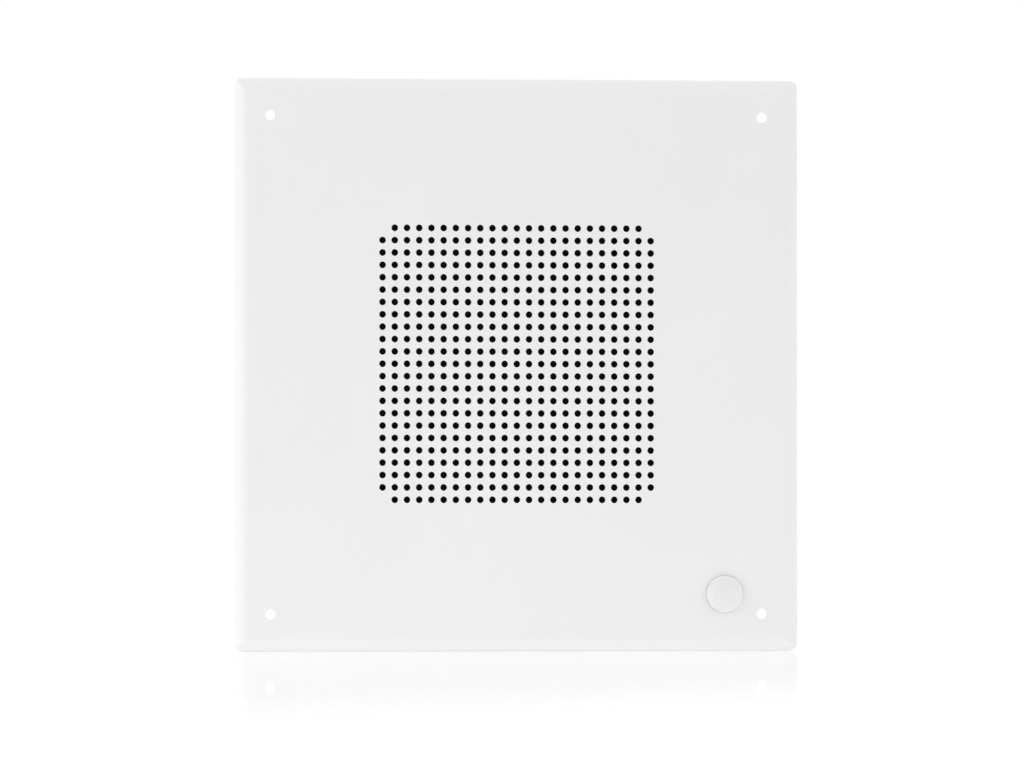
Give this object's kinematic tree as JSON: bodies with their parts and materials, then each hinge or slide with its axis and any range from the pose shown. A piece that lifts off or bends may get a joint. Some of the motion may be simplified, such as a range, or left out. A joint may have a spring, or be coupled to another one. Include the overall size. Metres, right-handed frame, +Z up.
{
  "type": "wall speaker",
  "caption": "Square white steel wall or ceiling speaker baffle with a perforated centre, carrying a round paper-cone loudspeaker and a line transformer behind it.",
  "frame": {"origin": "centre of the four wall-screw holes, on the baffle's front face", "axes": "-Y out of the front face towards the room, +Z up, +X to the right as seen from the room"},
  "size_m": [0.2942, 0.0814, 0.2942],
  "materials": {
    "white_coat": "satin powder coat",
    "badge_face": "gloss",
    "scrim_cloth": "matte woven",
    "gasket_foam": "matte",
    "zinc_plate": "bright zinc plate",
    "basket_steel": "semi-gloss black enamel",
    "magnet_ferrite": "matte",
    "cone_paper": "matte",
    "former_card": "matte",
    "copper_wire": "enamelled",
    "surround_cloth": "doped, matte",
    "spider_cloth": "matte",
    "board_phenolic": "satin",
    "tinned_brass": "tinned",
    "tinsel_braid": "braided",
    "core_iron": "varnished laminations",
    "bobbin_nylon": "satin",
    "winding_tape": "satin tape",
    "red_sleeve": "satin",
    "black_sleeve": "satin"
  },
  "bodies": {
    "speaker_frame": {"baffle": "white_coat", "badge": "badge_face", "scrim": "scrim_cloth", "gasket": "gasket_foam", "driver_studs": "zinc_plate", "driver_nuts": "zinc_plate", "basket": "basket_steel", "top_plate": "zinc_plate", "magnet": "magnet_ferrite", "pole_piece": "zinc_plate", "surround": "surround_cloth", "spider": "spider_cloth", "terminal_board": "board_phenolic", "terminal_rivet": "tinned_brass", "terminal_lugs": "tinned_brass", "tinsel_leads": "tinsel_braid", "transformer_core": "core_iron", "transformer_bobbin": "bobbin_nylon", "transformer_winding": "winding_tape", "transformer_strap": "zinc_plate", "transformer_studs": "zinc_plate", "transformer_nuts": "zinc_plate", "line_tabs": "tinned_brass", "output_tabs": "tinned_brass", "output_lead_red": "red_sleeve", "output_lead_black": "black_sleeve"},
    "cone_assembly": {"cone": "cone_paper", "dust_cap": "cone_paper", "coil_former": "former_card", "voice_coil": "copper_wire"}
  },
  "joints": [
    {"name": "cone_travel", "type": "slide", "parent": "speaker_frame", "child": "cone_assembly", "axis": [0, -1, 0], "range_m": [-0.003, 0.003], "stiffness_N_per_m": 3000, "deforming": ["surround", "spider", "tinsel_leads"]}
  ]
}
